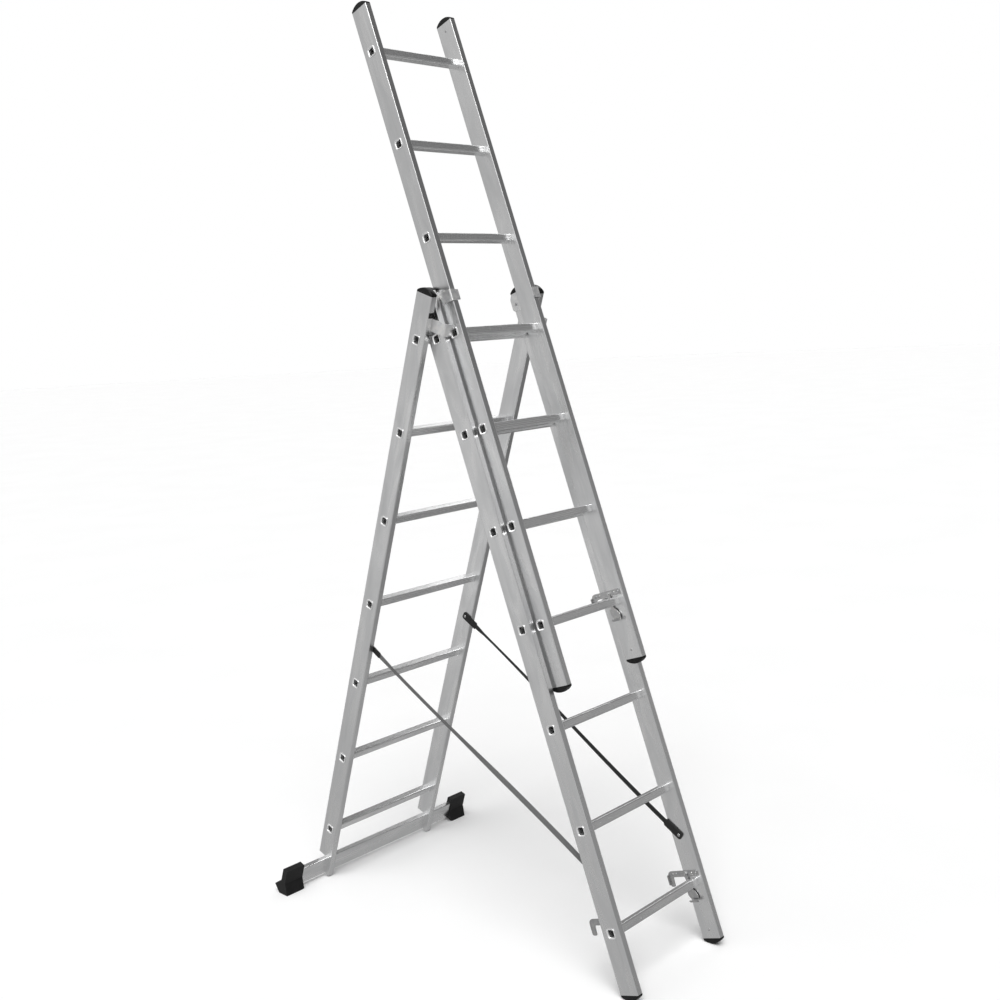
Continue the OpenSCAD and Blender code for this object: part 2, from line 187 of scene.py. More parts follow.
def grey(tone):
    return (tone, tone, tone)


def ramp(tree, value, stops):
    """A colour ramp from (place, colour) pairs."""
    made = add_node(tree, "ValToRGB", {"Fac": value})
    elements = made.color_ramp.elements
    while len(elements) < len(stops):
        elements.new(0.5)
    for element, (place, colour) in zip(elements, stops):
        element.position = place
        element.color = (*colour, 1)
    return made.outputs[0]


def bump(tree, height, distance, strength=1.0, below=None):
    inputs = {"Height": height, "Distance": distance, "Strength": strength}
    if below is not None:
        inputs["Normal"] = below
    return add_node(tree, "Bump", inputs).outputs[0]


def connect(tree, shader, **links):
    for key, value in links.items():
        tree.links.new(value, shader.inputs[key.replace("_", " ").title()])


# ---------------------------------------------------------------- materials


# Grain of the drawn metal in metres: across the drawing direction, then along it
LINE_GRAIN = (0.0009, 0.5)
CLOUD_GRAIN = (0.045, 0.17)
SCUFF_GRAIN = (0.004, 0.012)
CLOUD_SHARE = 0.72
# Soft edge of the rims' painted white highlight in metres, then how much rougher the rims are made
RIM_EDGE = 0.0002
RIM_ROUGHNESS = 0.16


def extruded_aluminium(name, turn, along, dark, light, rough, metallic=1.0, rims_past=None):
    """Mill-finished extrusion: drawing lines and soft clouds along one axis, and faint scuffs.
    Past that distance from the middle of the ladder, a rung's rolled rims are painted white: a
    painted highlight."""
    material, tree, shader = new_shader(name, metallic=metallic)

    def stretched(across, length):
        size = [across] * 3
        size[along] = length
        return grain_space(tree, turn, size)

    lines = noise(tree, stretched(*LINE_GRAIN), detail=4, roughness=0.7)
    clouds = noise(tree, stretched(*CLOUD_GRAIN), detail=3, roughness=0.55, distortion=0.6)
    scuffs = noise(tree, stretched(*SCUFF_GRAIN), detail=6, roughness=0.75)
    scuff_mask = spread(tree, scuffs, 0.0, 1.0, 0.60, 0.72)
    tone = math_node(tree, "ADD", math_node(tree, "MULTIPLY", clouds, CLOUD_SHARE),
                     math_node(tree, "MULTIPLY", lines, 1 - CLOUD_SHARE))
    colour = ramp(tree, tone, [(0.32, dark), (0.68, light)])
    roughness = spread(tree, tone, rough[1], rough[0])
    roughness = math_node(tree, "ADD", roughness, math_node(tree, "MULTIPLY", scuff_mask, 0.07))
    if rims_past is not None:
        place = add_node(tree, "TexCoord").outputs["Object"]
        across = add_node(tree, "SeparateXYZ", {"Vector": place}).outputs["X"]
        reach = math_node(tree, "ABSOLUTE", across, 0)
        # The rolled rims are painted white as a painted highlight, and made a little rougher
        rim_painted_highlight = spread(tree, reach, 0.0, 1.0, rims_past - RIM_EDGE, rims_past + RIM_EDGE)
        colour = mix(tree, rim_painted_highlight, colour, (*grey(1.0), 1))
        roughness = math_node(tree, "ADD", roughness,
                              math_node(tree, "MULTIPLY", rim_painted_highlight, RIM_ROUGHNESS))
    wavy = bump(tree, clouds, 0.004, 0.16)
    normal = bump(tree, lines, 0.00005, 0.40, below=wavy)
    connect(tree, shader, base_color=colour, roughness=roughness, normal=normal)
    return material


ZINC_CRYSTAL = 0.0035
ZINC_PATCH = 0.012


def zinc_plate(name, metallic, rough, tone):
    """Zinc plating: a fine crystal pattern, faint blue and straw tints, and rubbed patches."""
    material, tree, shader = new_shader(name, metallic=metallic)
    crystals = add_node(tree, "TexVoronoi", {"Vector": grain_space(tree, 0, grey(ZINC_CRYSTAL))})
    patches = noise(tree, grain_space(tree, 0, grey(ZINC_PATCH)), detail=4)
    bluish = (tone * 0.84, tone * 0.85, tone * 0.87)
    straw = (tone * 1.07, tone * 1.06, tone * 1.04)
    colour = ramp(tree, patches, [(0.30, bluish), (0.50, grey(tone * 0.96)), (0.70, straw)])
    cells = spread(tree, crystals.outputs["Distance"], 0.0, 0.10, 0.0, 1.0)
    roughness = math_node(tree, "ADD", cells, spread(tree, patches, rough[0], rough[1]))
    connect(tree, shader, base_color=colour, roughness=roughness,
            normal=bump(tree, patches, 0.0002, 0.4))
    return material


DUST_PATCH = 0.011


def moulded_plastic(name, tone, rough, grain, depth):
    """Black moulding: fine tool grain, dull and glossy patches, and a little dust."""
    material, tree, shader = new_shader(name, metallic=0.0, ior=1.5, specular_ior_level=0.3)
    patches = noise(tree, grain_space(tree, 0, grey(DUST_PATCH)), detail=5, roughness=0.6)
    texture = noise(tree, grain_space(tree, 0, grey(grain)), detail=2)
    dusty = (tone * 1.5, tone * 1.5, tone * 1.55)
    colour = ramp(tree, patches, [(0.3, grey(tone * 0.7)), (0.7, dusty)])
    roughness = spread(tree, patches, rough[0], rough[1])
    connect(tree, shader, base_color=colour, roughness=roughness,
            normal=bump(tree, texture, depth, 0.6))
    return material


THREAD = 0.0016
FIBRE = 0.0012
FIBRE_SHARE = 0.7
SLEEVE_TONE = 0.006
SLEEVE_EDGE = 0.002


def woven_webbing(name, dark, light, run, sewn):
    """Flat woven polyester: warp ridges along the strap crossed by weft, from the strap's own
    UVs. For the sewn length at both ends of its run it is black."""
    material, tree, shader = new_shader(name, roughness=0.62, sheen_weight=0.05,
                                        sheen_roughness=0.4)
    place = add_node(tree, "UVMap", uv_map="weave").outputs[0]
    scaled = add_node(tree, "Mapping", {"Vector": place,
                                        "Scale": (1 / THREAD, 1 / THREAD, 1)}).outputs[0]
    weave = add_node(tree, "TexChecker", {"Vector": scaled, "Scale": 1.0}).outputs["Fac"]
    split = add_node(tree, "SeparateXYZ", {"Vector": scaled})
    waves = [math_node(tree, "SINE", math_node(tree, "MULTIPLY", split.outputs[i], math.pi), 0)
             for i in range(2)]
    ridges = math_node(tree, "MAXIMUM", math_node(tree, "ABSOLUTE", waves[0], 0),
                       math_node(tree, "ABSOLUTE", waves[1], 0))
    fibres = noise(tree, grain_space(tree, 0, grey(FIBRE)), detail=4, roughness=0.7)
    tone = math_node(tree, "ADD", math_node(tree, "MULTIPLY", fibres, FIBRE_SHARE),
                     math_node(tree, "MULTIPLY", weave, 1 - FIBRE_SHARE))
    colour = ramp(tree, tone, [(0.25, grey(dark)), (0.85, grey(light))])
    reach = add_node(tree, "SeparateXYZ", {"Vector": place}).outputs["X"]
    past_start = spread(tree, reach, 0.0, 1.0, sewn - SLEEVE_EDGE, sewn + SLEEVE_EDGE)
    before_end = spread(tree, reach, 1.0, 0.0, run - sewn - SLEEVE_EDGE, run - sewn + SLEEVE_EDGE)
    bare = math_node(tree, "MULTIPLY", past_start, before_end)
    colour = mix(tree, bare, (*grey(SLEEVE_TONE), 1), colour)
    connect(tree, shader, base_color=colour, normal=bump(tree, ridges, 0.0004, 0.8))
    return material


def floor_paint(name):
    material, tree, shader = new_shader(name, roughness=0.9, specular_ior_level=0.1)
    mottle = noise(tree, grain_space(tree, 0, grey(0.6)), detail=3)
    connect(tree, shader, base_color=ramp(tree, mottle, [(0.3, grey(0.97)), (0.7, grey(0.99))]))
    return material


# Dark and light tone of the metal, then its lowest and highest roughness
STILE_FINISH = ((0.74, 0.745, 0.75), grey(0.90), (0.22, 0.36))
RUNG_FINISH = ((0.76, 0.765, 0.77), grey(0.91), (0.16, 0.28))
RUNG_METALLIC = 0.90

ALUMINIUM = {section: extruded_aluminium(f"stile_aluminium_{section}", TURN[section], 2,
                                         *STILE_FINISH) for section in SECTIONS}
BAR_ALUMINIUM = extruded_aluminium("bar_aluminium", TURN["rear"], 0, *STILE_FINISH)
RUNG_ALUMINIUM = {
    section: extruded_aluminium(f"rung_aluminium_{section}", TURN[section], 0, *RUNG_FINISH,
                                metallic=RUNG_METALLIC,
                                rims_past=local_box(f"{section}_stile_right", section)[1].x * MM)
    for section in SECTIONS}
ZINC = zinc_plate("zinc_plate", 1.0, (0.10, 0.20), 0.55)
SHEET_ZINC = zinc_plate("sheet_zinc", 0.8, (0.26, 0.38), 0.84)
PLASTIC = moulded_plastic("moulded_plastic", 0.004, (0.16, 0.30), 0.0011, 0.00006)
RUBBER = moulded_plastic("moulded_rubber", 0.007, (0.40, 0.58), 0.0016, 0.00015)
# Dark and light tone of each strap's webbing: the left strap is painted lighter as painted light
# and the right one darker as painted shade, though both are the same black webbing
LIT_AND_SHADED_WEBBING_TONES = {"left": (0.05, 0.22), "right": (0.003, 0.014)}

# ---------------------------------------------------------------- mesh helpers


def loft(mesh, rings, closed=False, ends=(True, True)):
    """Joins rings of equal length by quads. An open loft may be closed by a face at each end."""
    rows = [[mesh.verts.new(point) for point in ring] for ring in rings]
    following = rows[1:] + rows[:1] if closed else rows[1:]
    for near, far in zip(rows, following):
        for i in range(len(near)):
            k = (i + 1) % len(near)
            mesh.faces.new((near[i], near[k], far[k], far[i]))
    if ends[0] and not closed:
        mesh.faces.new(rows[0][::-1])
    if ends[1] and not closed:
        mesh.faces.new(rows[-1])
    return rows


def fillet(corners, steps=5):
    """Outline points from (a, b, radius) corners, with an arc of that radius at each corner."""
    points = []
    for i, (a, b, radius) in enumerate(corners):
        here = Vector((a, b))
        if radius == 0:
            points.append(here)
            continue
        back = (Vector(corners[i - 1][:2]) - here).normalized()
        on = (Vector(corners[(i + 1) % len(corners)][:2]) - here).normalized()
        half = back.angle(on) / 2
        centre = here + (back + on).normalized() * radius / math.sin(half)
        first = here + back * radius / math.tan(half) - centre
        last = here + on * radius / math.tan(half) - centre
        sweep = first.angle(last)
        for k in range(steps + 1):
            share = k / steps
            arm = first * math.sin((1 - share) * sweep) + last * math.sin(share * sweep)
            points.append(centre + arm / math.sin(sweep))
    return points


def add_plate(mesh, outline, x_from, x_to):
    """A flat plate: an outline of (y, z) points, given its thickness along the rungs."""
    loft(mesh, [[Vector((x, y, z)) for y, z in outline] for x in (x_from, x_to)])


def add_folded(mesh, stations, thickness, plan=True):
    """Folded sheet metal. Stations are (x, a, low, high): the sheet runs through the points
    (x, a) and reaches from low to high across them. In plan, a is Y and the reach is Z, and
    otherwise a is Z and the reach is Y."""
    rings = []
    for i, (x, a, low, high) in enumerate(stations):
        before = Vector(stations[max(i - 1, 0)][:2])
        after = Vector(stations[min(i + 1, len(stations) - 1)][:2])
        along = (after - before).normalized()
        side = Vector((-along.y, along.x)) * thickness / 2
        ring = []
        for sign, reach in ((1, low), (1, high), (-1, high), (-1, low)):
            px, pa = x + sign * side.x, a + sign * side.y
            ring.append(Vector((px, pa, reach) if plan else (px, reach, pa)))
        rings.append(ring)
    loft(mesh, rings)


def add_turned(mesh, profile, place, points=24):
    """A turned shape: (height, radius) pairs about the Z axis of a placing matrix."""
    turns = [2 * math.pi * k / points for k in range(points)]
    loft(mesh, [[place @ Vector((radius * math.cos(turn), radius * math.sin(turn), height))
                 for turn in turns] for height, radius in profile])


def towards(place, axis):
    """A placing matrix whose Z axis points along an axis."""
    return Matrix.Translation(place) @ Vector(axis).to_track_quat("Z", "Y").to_matrix().to_4x4()


RIVET_RIM = 0.3


def add_rivet(mesh, x, y, z, radius=5.0, height=2.2, shank=4.0):
    """A dome-headed rivet on a face at x that looks towards the middle of the ladder."""
    profile = [(-shank, radius / 2), (0, radius / 2), (0, radius), (RIVET_RIM, radius)]
    for k in range(1, 6):
        turn = math.radians(90 * k / 6)
        dome = (height - RIVET_RIM) * math.sin(turn)
        profile.append((RIVET_RIM + dome, radius * math.cos(turn)))
    add_turned(mesh, profile, towards((x, y, z), (-1, 0, 0)))


def make_piece(name, mesh, body, material, stands_for, place=None, bevel=0.0, smooth_to=40):
    """Turns a bmesh into a piece of the ladder that rides on a body and replaces CAD nodes."""
    if place is not None:
        bmesh.ops.transform(mesh, matrix=place, verts=mesh.verts)
    bmesh.ops.recalc_face_normals(mesh, faces=mesh.faces)
    data = bpy.data.meshes.new(name)
    mesh.to_mesh(data)
    mesh.free()
    data.materials.append(material)
    data.shade_smooth()
    data.set_sharp_from_angle(angle=math.radians(smooth_to))
    piece = bpy.data.objects.new(name, data)
    bpy.context.scene.collection.objects.link(piece)
    if bevel:
        rounding = piece.modifiers.new("rounding", "BEVEL")
        rounding.width = bevel * MM
        rounding.segments = 2
        rounding.limit_method = "ANGLE"
        rounding.angle_limit = math.radians(smooth_to)
        rounding.harden_normals = True
    if body:
        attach(piece, body)
    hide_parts(*stands_for)
    return piece


def on_side(section, side):
    """Matrix from a drawing of the right side to this side of a section."""
    return FRAMES[section] @ Matrix.Scale(SIDES[side], 4, (1, 0, 0))


def paint(node, material):
    slots = frame["nodes"][node].data.materials
    slots.clear()
    slots.append(material)


# ---------------------------------------------------------------- sizes taken from the frame


def stile_box(section):
    return local_box(f"{section}_stile_right", section)


PITCH = (middle_of("middle_rung_2") - middle_of("middle_rung_1")).length / MM
STILE_LOW, STILE_HIGH = stile_box("middle")
STILE_T = STILE_HIGH.x - STILE_LOW.x
STILE_DEPTH = STILE_HIGH.y - STILE_LOW.y
STILE_CORNER = 2.5
OUTER = {section: stile_box(section)[1].x for section in SECTIONS}
INNER = {section: stile_box(section)[0].x for section in SECTIONS}

# ---------------------------------------------------------------- rungs

RIM_WIDTH = 2.4
RIM_T = 2.2
# How far the rolled rims stay inside the CAD's square ones
RIM_INSET = 0.1
RUNG_SIZE = local_box("middle_rung_1", "middle")[1].z * 2 - 2 * RIM_WIDTH - 2 * RIM_INSET
RUNG_CORNER = 4.5
BORE = 18.6
BORE_CORNER = 3.0
MOUTH_LEN = 6.0
MOUTH_INSET = 0.4
RIDGES = 3
RIDGE_DEPTH = 0.26
# The ridges fade out between these distances from the stile
FADE_FROM = 9
FADE_TO = 6
# The swaged bead on the inner side of the stile: its place, half length and rise
BEAD_PLACE = 2.8
BEAD_HALF = 2.6
SWAGE = 0.5


def square_profile(half, corner, ridge_depth):
    """Points round a square tube with rounded corners and shallow tread ridges on each side."""
    steps = RIDGES * 6
    side = []
    for i in range(1, steps):
        along = (2 * i / steps - 1) * (half - corner)
        wave = 0.5 - 0.5 * math.cos(2 * math.pi * RIDGES * i / steps)
        side.append((along, half - ridge_depth * wave))
    arc = []
    for k in range(7):
        turn = math.radians(15 * k)
        arc.append((half - corner + corner * math.sin(turn),
                    half - corner + corner * math.cos(turn)))
    points = []
    for quarter in range(4):
        c, s = math.cos(quarter * math.pi / 2), -math.sin(quarter * math.pi / 2)
        points += [(y * c - z * s, y * s + z * c) for y, z in side + arc]
    return points


def rung_stations(half_span):
    """(x, half size, corner radius, ridge share) along one half of a rung: out from the middle,
    over the swaged bead and the rolled rim, and back along the bore."""
    inner = half_span - STILE_T
    half = RUNG_SIZE / 2
    bore = BORE / 2
    stations = [(inner - FADE_FROM, half, RUNG_CORNER, 1.0),
                (inner - FADE_TO, half, RUNG_CORNER, 0.5)]
    for k in range(9):
        turn = math.pi * k / 8
        stations.append((inner - BEAD_PLACE - BEAD_HALF * math.cos(turn),
                         half + SWAGE * math.sin(turn), RUNG_CORNER + 0.8 * math.sin(turn), 0.1))
    stations.append((half_span - 0.5, half, RUNG_CORNER, 0.0))
    lip = RIM_T / 2
    rim_middle = half + RIM_WIDTH - lip
    for k in range(9):
        turn = math.pi * (k / 8 - 0.25)
        stations.append((half_span + lip + lip * math.sin(turn), rim_middle + lip * math.cos(turn),
                         RUNG_CORNER + 2, 0.0))
    reach = rim_middle - bore - lip * math.sin(math.pi / 4)
    for k in range(1, 7):
        turn = math.pi * k / 12
        stations.append((half_span + RIM_T - MOUTH_INSET - MOUTH_LEN * (1 - math.cos(turn)),
                         bore + reach * (1 - math.sin(turn)),
                         BORE_CORNER + 3 * (1 - math.sin(turn)), 0.0))
    stations.append((inner, bore, BORE_CORNER, 0.0))
    return stations


def build_rung(section, number):
    stations = rung_stations(OUTER[section])
    both = stations + [(-x, *rest) for x, *rest in reversed(stations)]
    rings = [[Vector((x, y, z)) for y, z in square_profile(size, corner, RIDGE_DEPTH * share)]
             for x, size, corner, share in both]
    mesh = bmesh.new()
    loft(mesh, rings, closed=True)
    raised = Matrix.Translation((0, 0, PITCH * (number - 1)))
    make_piece(f"{section}_rung_{number}_ridged", mesh, f"{section}_section",
               RUNG_ALUMINIUM[section], [f"{section}_rung_{number}"],
               place=FRAMES[section] @ raised)


# ---------------------------------------------------------------- domed caps

CAP_H = 17.0
CAP_EDGE = 5.0
CAP_ROUNDING = 1.6
CAP_CROWN = 1.0
# Insets of the rings that carry the dome in from its rounded edge
DOME_INSETS = (3.0, 4.6, 6.2, 7.6)
PLUG_LEN = 15.0
PLUG_INSET = 2.2


def outline_ring(width, depth, corner, corner_steps=5, side_steps=12):
    """Points round a rectangle with rounded corners, with extra points along its long sides."""
    corner = max(min(corner, width / 2 - 0.01, depth / 2 - 0.01), 0.01)
    arcs = []
    for sx, sy, start in ((1, 1, 0), (-1, 1, 90), (-1, -1, 180), (1, -1, 270)):
        arc = []
        for k in range(corner_steps + 1):
            turn = math.radians(start + 90 * k / corner_steps)
            arc.append((sx * (width / 2 - corner) + corner * math.cos(turn),
                        sy * (depth / 2 - corner) + corner * math.sin(turn)))
        arcs.append(arc)
    ring = []
    for i, arc in enumerate(arcs):
        ring += arc
        if i % 2 == 1:
            (x, y), (next_x, next_y) = arc[-1], arcs[(i + 1) % 4][0]
            for k in range(1, side_steps):
                share = k / side_steps
                ring.append((x + share * (next_x - x), y + share * (next_y - y)))
    return ring


def add_cap(mesh, x, z, up):
    """A domed cap on a stile end at height z, which bulges up or down."""
    half = STILE_DEPTH / 2
    rise = CAP_H - CAP_EDGE
    radius = (half * half + rise * rise) / (2 * rise)
    rings = []

    def ring(inset, height):
        points = outline_ring(STILE_T - 2 * inset, STILE_DEPTH - 2 * inset, STILE_CORNER - inset)
        rings.append([Vector((x + px, py, z + up * height(px, py))) for px, py in points])

    def dome(px, py, drop):
        crown = CAP_CROWN * (px / (STILE_T / 2)) ** 2
        return CAP_H - radius + math.sqrt(radius * radius - py * py) - drop - crown

    ring(PLUG_INSET, lambda px, py: -PLUG_LEN)
    ring(PLUG_INSET, lambda px, py: 0)
    ring(0.0, lambda px, py: 0)
    for k in range(6):
        turn = math.radians(18 * k)
        inset = CAP_ROUNDING * (1 - math.cos(turn))
        drop = CAP_ROUNDING * (1 - math.sin(turn))
        ring(inset, lambda px, py, drop=drop: dome(px, py, drop))
    for inset in (*DOME_INSETS, STILE_T / 2):
        ring(inset, lambda px, py: dome(px, py, 0))
    loft(mesh, rings, ends=(True, False))


def build_caps(section, sides, node, top):
    mesh = bmesh.new()
    low, high = stile_box(section)
    centre = (low.x + high.x) / 2
    for side in sides:
        add_cap(mesh, SIDES[side] * centre, high.z if top else low.z, 1 if top else -1)
    bmesh.ops.remove_doubles(mesh, verts=mesh.verts, dist=0.02)
    make_piece(f"{node}_domed", mesh, f"{section}_section", PLASTIC, [node],
               place=FRAMES[section])


def build_all_caps():
    for section in SECTIONS:
        build_caps(section, SIDES, f"{section}_top_caps", True)
    for section in ("middle", "upper"):
        for side in SIDES:
            build_caps(section, [side], f"{section}_foot_cap_{side}", False)


# ---------------------------------------------------------------- steel brackets

PLATE_T = 2.5
SHEET_BEND = 3.0
# Outlines of the brackets' plates and ears on the stile, as (y, low z, high z). The loop's ear
# has its lower front corner cut back.
LOOP_PLATE = ((36, 1765, 1795), (34, 1762, 1799), (30, 1758, 1806), (-28, 1758, 1804),
              (-34, 1792, 1803.5), (-48, 1764, 1801))
WRAP_PLATE = ((20, 1718, 1746), (17, 1714.5, 1749.5), (14, 1714, 1750), (-40, 1714, 1750))
# Low and high z of their bend, and of their front flange where it starts and at its tip
LOOP_BEND = (1762, 1795)
LOOP_FLANGE = ((1763, 1793), (1764, 1792))
WRAP_BEND = (1715, 1750)
WRAP_FLANGE = ((1716, 1749), (1718, 1747))
LOOP_RIVETS = ((18, 1777), (-6, 1777))
WRAP_RIVETS = ((12, 1732), (-12, 1732))


def quarter_bend(centre_x, centre_y, low, high, steps=6):
    """The stations of a quarter bend, from running along -Y to running along -X."""
    turns = [math.radians(90 * k / steps) for k in range(steps + 1)]
    return [(centre_x + SHEET_BEND * math.cos(turn), centre_y - SHEET_BEND * math.sin(turn),
             low, high) for turn in turns]


def build_bracket(node, section, side, plate, last, bend, flange, chamfer):
    """Sheet bracket: a plate on the stile's inner face, bent to a flange in front of a stile.
    Its last station before the bend is (distance from the front, low z, high z)."""
    low, high = local_box(f"{node}_{side}", section)
    face = INNER[section] - PLATE_T / 2
    front = low.y + PLATE_T / 2
    tip = low.x if SIDES[side] > 0 else -high.x
    stations = [(face, *station) for station in plate]
    stations.append((face, front + last[0], *last[1:]))
    stations += quarter_bend(face - SHEET_BEND, front + SHEET_BEND, *bend)
    stations += [(tip + chamfer, front, *flange[0]), (tip, front, *flange[1])]
    mesh = bmesh.new()
    add_folded(mesh, stations, PLATE_T)
    make_piece(f"{node}_{side}_pressed", mesh, f"{section}_section", SHEET_ZINC,
               [f"{node}_{side}"], place=on_side(section, side), bevel=0.5)


def build_brackets(side):
    """The loop that guides the upper stile, and the band round the front of the middle stile."""
    build_bracket("loop_bracket", "middle", side, LOOP_PLATE, (8, 1762, 1796), LOOP_BEND,
                  LOOP_FLANGE, 1)
    build_bracket("hinge_bracket", "rear", side, WRAP_PLATE, (9, 1715, 1750), WRAP_BEND,
                  WRAP_FLANGE, 2)


# Corners of the rung hook as (y, z, radius), measured from the rung that it sits at
HOOK_END = 89
HOOK_CORNERS = ((-22, 16, 1.5), (-22, 34, 4), (HOOK_END, 34, 14), (HOOK_END, -12, 6),
                (73, -12, 4), (71, 16, 5))
# The lip at the hook's end, as (how far it stands in from the stile, low z, high z)
LIP = ((PLATE_T + 0.1, -6, 24), (5, -6, 24), (8, -5, 23), (9, -3, 21))
HOOK_RIVETS = ((2, 25), (-14, 25))
EAR_RIVETS = ((58, 25), (71, 25))
EAR_RIVET = {"radius": 4.0, "height": 1.8, "shank": 2.4}
LATCH_PIVOT = (24, 24)
# The pivot's flange and rounded head, as (height, radius)
PIVOT = ((0.0, 3.0), (5.5, 3.0), (5.5, 5.0), (6.4, 5.0), (7.0, 4.4), (7.0, 1.5), (6.7, 0.6))
LATCH_T = 2.0
LATCH_GAP = 3.0
LATCH_FOOT = -50
LATCH_CORNERS = ((32, 24, 6), (24.5, 8, 3), (24.5, -20, 2), (33, -20, 2), (33, -38, 6),
                 (25, LATCH_FOOT, 0), (-1, LATCH_FOOT, 0), (-2, -40, 5), (6, -24, 6),
                 (15, -17, 5), (15, 24, 5), (20, 33, 5), (29, 33, 5))
CURL_R = 6


def build_hook(section, side):
    """Rung hook with a lip at its free end, and its rivets and the latch's pivot."""
    face = INNER[section]
    mesh = bmesh.new()
    add_plate(mesh, fillet(HOOK_CORNERS), face - PLATE_T, face)
    add_folded(mesh, [(face - inwards, HOOK_END - PLATE_T / 2, *reach)
                      for inwards, *reach in LIP], PLATE_T)
    make_piece(f"{section}_hook_{side}_plate", mesh, f"{section}_section", ZINC,
               [f"{section}_hook_{side}"], place=on_side(section, side), bevel=0.45)
    mesh = bmesh.new()
    for y, z in EAR_RIVETS:
        add_rivet(mesh, face - PLATE_T, y, z, **EAR_RIVET)
    add_turned(mesh, PIVOT, towards((face - 0.1, *LATCH_PIVOT), (-1, 0, 0)))
    make_piece(f"{section}_hook_{side}_rivets", mesh, f"{section}_section", ZINC,
               [f"{section}_hook_{side}"], place=on_side(section, side))


def build_latch(section, side):
    """Swinging latch: a shank with a toe, and a finger lip curled at the bottom."""
    outer = INNER[section] - LATCH_GAP
    middle = outer - LATCH_T / 2
    mesh = bmesh.new()
    add_plate(mesh, fillet(LATCH_CORNERS), outer - LATCH_T, outer)
    curl = [(middle, LATCH_FOOT + 0.2, -1, 25)]
    for k in range(1, 13):
        turn = math.radians(15 * k)
        curl.append((middle - CURL_R + CURL_R * math.cos(turn),
                     LATCH_FOOT - CURL_R * math.sin(turn), -1 - 0.1 * k, 25 + 0.08 * k))
    add_folded(mesh, curl, LATCH_T, plan=False)
    make_piece(f"{section}_latch_{side}_pressed", mesh, f"{section}_latch_body_{side}", ZINC,
               [f"{section}_latch_{side}"], place=on_side(section, side),
               bevel=0.35)


# ---------------------------------------------------------------- rivets

CAP_RIVET_INSET = 25
CAP_RIVET = {"radius": 3.5, "height": 1.2, "shank": 2}
STRAP_LOW = (3, 139)
STRAP_HIGH = (-7, 697)
SLEEVE_T = 4.0
SLEEVE_GAP = 0.4
PLATE_SHANK = 4.5
STRAP_SHANK = 6.4


def build_rivets(section, plate_rivets, strap_rivet=None, foot_rivet=True, head_rivet=True):
    """All rivets of a section: those of its plates and strap, and of the caps at its ends."""
    mesh = bmesh.new()
    low, high = stile_box(section)
    face = INNER[section]
    for y, z in plate_rivets:
        add_rivet(mesh, face - PLATE_T, y, z, shank=PLATE_SHANK)
    if strap_rivet:
        add_rivet(mesh, face - SLEEVE_T - SLEEVE_GAP, *strap_rivet, shank=STRAP_SHANK)
    if foot_rivet:
        add_rivet(mesh, face, 0, low.z + CAP_RIVET_INSET, **CAP_RIVET)
    if head_rivet:
        add_rivet(mesh, face, 0, high.z - CAP_RIVET_INSET, **CAP_RIVET)
    whole = mesh.verts[:] + mesh.edges[:] + mesh.faces[:]
    copied = bmesh.ops.duplicate(mesh, geom=whole)["geom"]
    bmesh.ops.scale(mesh, vec=(-1, 1, 1),
                    verts=[part for part in copied if isinstance(part, bmesh.types.BMVert)])
    make_piece(f"{section}_rivets_domed", mesh, f"{section}_section", ZINC,
               [f"{section}_rivets"], place=FRAMES[section])


# ---------------------------------------------------------------- restraint straps

STRAP_W = 16.0
STRAP_T = 1.8
STRAP_STEP = 2.0
# How far a strap's middle lies from the face that it is riveted to
STRAP_STANDOFF = 2.3
SEWN_T = SLEEVE_T - 0.2
# Share of the run over which a strap passes from one stile's distance to the other's
CROSSING = (0.075, 0.925)
SLEEVE_W = {"left": 19.0, "right": 25.0}
SLEEVE_LEN = 58.0
SLEEVE_PAST = 10.0
SLEEVE_TAPER = 5.0
SLEEVE_ROUND = 6.0
SLEEVE_CUT = 8.0
# Stations along the rounded end of a sleeve, from its tip
SLEEVE_END = (0.02, 0.3, 1.2, 3, 6)
RIB = 0.08
# How far each strap is turned about its own run, as (share of the run, degrees)
TWISTS = {"left": ((0.0, 0), (0.14, 20), (0.36, 22), (0.62, -12), (0.88, -12), (0.94, 0)),
          "right": ((0.0, 0), (0.10, 0), (0.55, -12), (0.86, -27), (0.90, -24), (0.94, 0))}
# Shares of the run between which a strap passes from the middle section to the rear one
STITCH_ROWS = (26, 42)
STITCH_PITCH = 2.6
STITCH_DEPTH = 0.1
# A stitch seen from its side, as (place along it, radius)
STITCH = ((-0.95, 0.12), (-0.7, 0.34), (0, 0.42), (0.7, 0.34), (0.95, 0.12))


def smooth(value, low, high):
    share = min(max((value - low) / (high - low), 0), 1)
    return share * share * (3 - 2 * share)


def twist_at(side, share):
    """Turn in degrees at a share of a strap's run, eased between its key turns."""
    keys = TWISTS[side]
    turn = keys[0][1]
    for (near, near_turn), (far, far_turn) in zip(keys, keys[1:]):
        turn += (far_turn - near_turn) * smooth(share, near, far)
    return turn


def webbing_section(width, thick):
    """Cross-section of a flat strap: rounded selvedges a little thicker than the middle."""
    half, h = width / 2, thick / 2
    top = [(-half + 1.2, h), (-half + 2.6, h * 0.86), (0, h * 0.86), (half - 2.6, h * 0.86),
           (half - 1.2, h)]
    edge = [(half - 0.3, h * 0.7), (half, 0), (half - 0.3, -h * 0.7)]
    return top + edge + [(-a, -b) for a, b in top + edge]


